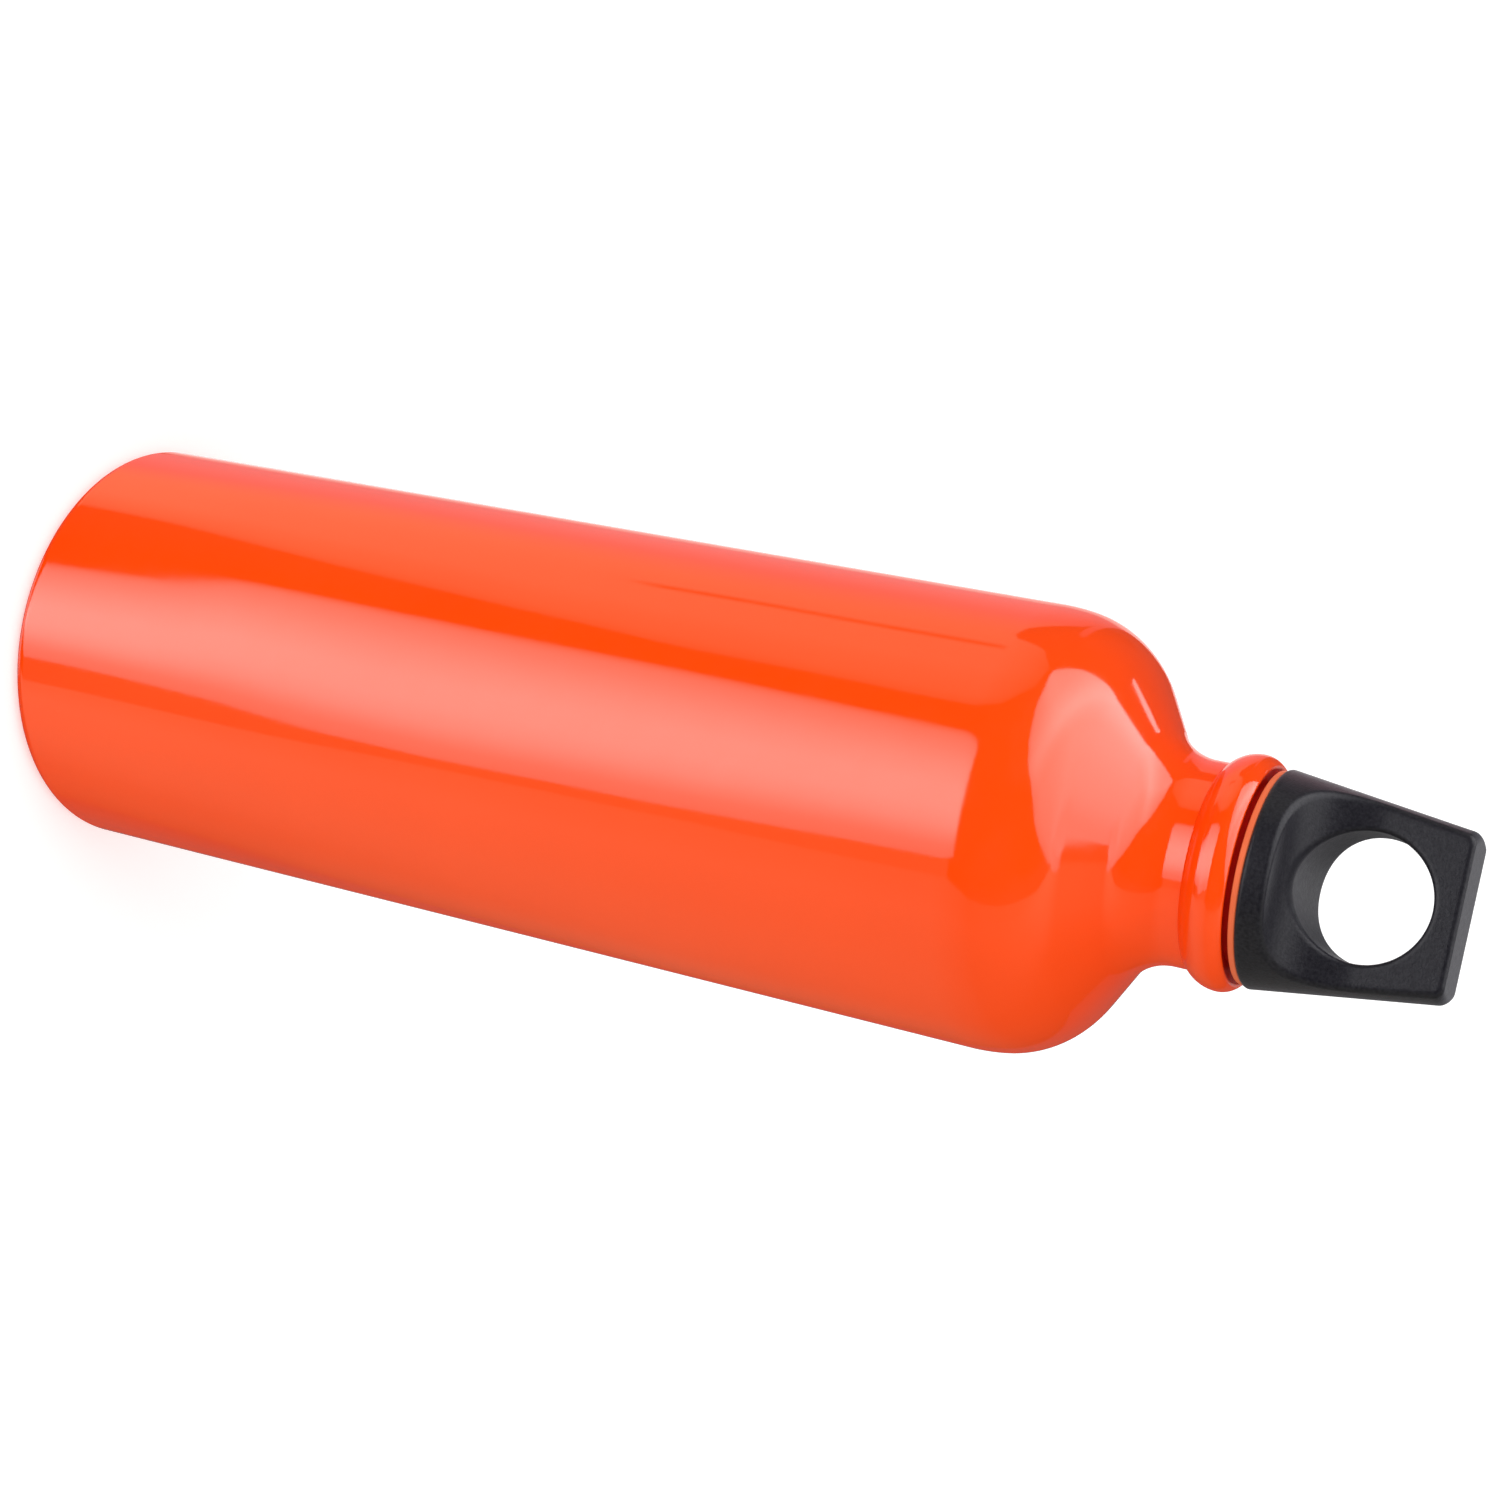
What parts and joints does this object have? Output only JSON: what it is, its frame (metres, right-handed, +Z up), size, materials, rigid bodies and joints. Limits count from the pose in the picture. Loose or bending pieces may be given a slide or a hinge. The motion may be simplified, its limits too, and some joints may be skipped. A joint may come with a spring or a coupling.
{
  "type": "fuel bottle",
  "caption": "Round metal bottle with a domed shoulder, a short neck with a rounded collar, and a screw cap whose end is a flat carrying loop.",
  "frame": {"origin": "middle of the base, on the plane that the bottle stands on", "axes": "+Z up the bottle's axis from base to cap, Y along the loop's hole when the cap is closed, X across the loop's flat face"},
  "size_m": [0.075, 0.075, 0.2591],
  "materials": {
    "orange_lacquer": "glossy orange lacquer over aluminium",
    "orange_silicone": "satin silicone rubber",
    "black_moulding": "matt moulded nylon with a fine spark texture"
  },
  "bodies": {
    "bottle": {"bottle_shell": "orange_lacquer"},
    "seal": {"seal_ring": "orange_silicone"},
    "cap": {"loop_cap": "black_moulding"}
  },
  "joints": [
    {"name": "cap_lift", "type": "slide", "parent": "bottle", "child": "seal", "axis": [0, 0, 1], "range_m": [0, 0.0161]},
    {"name": "cap_turn", "type": "hinge", "parent": "seal", "child": "cap", "pos_m": [0, 0, 0.22784], "axis": [0, 0, 1], "range_deg": [0, 1440]}
  ],
  "couplings": [
    {"joint": "cap_lift", "follows": "cap_turn", "m_per_rad": 0.00063662}
  ]
}
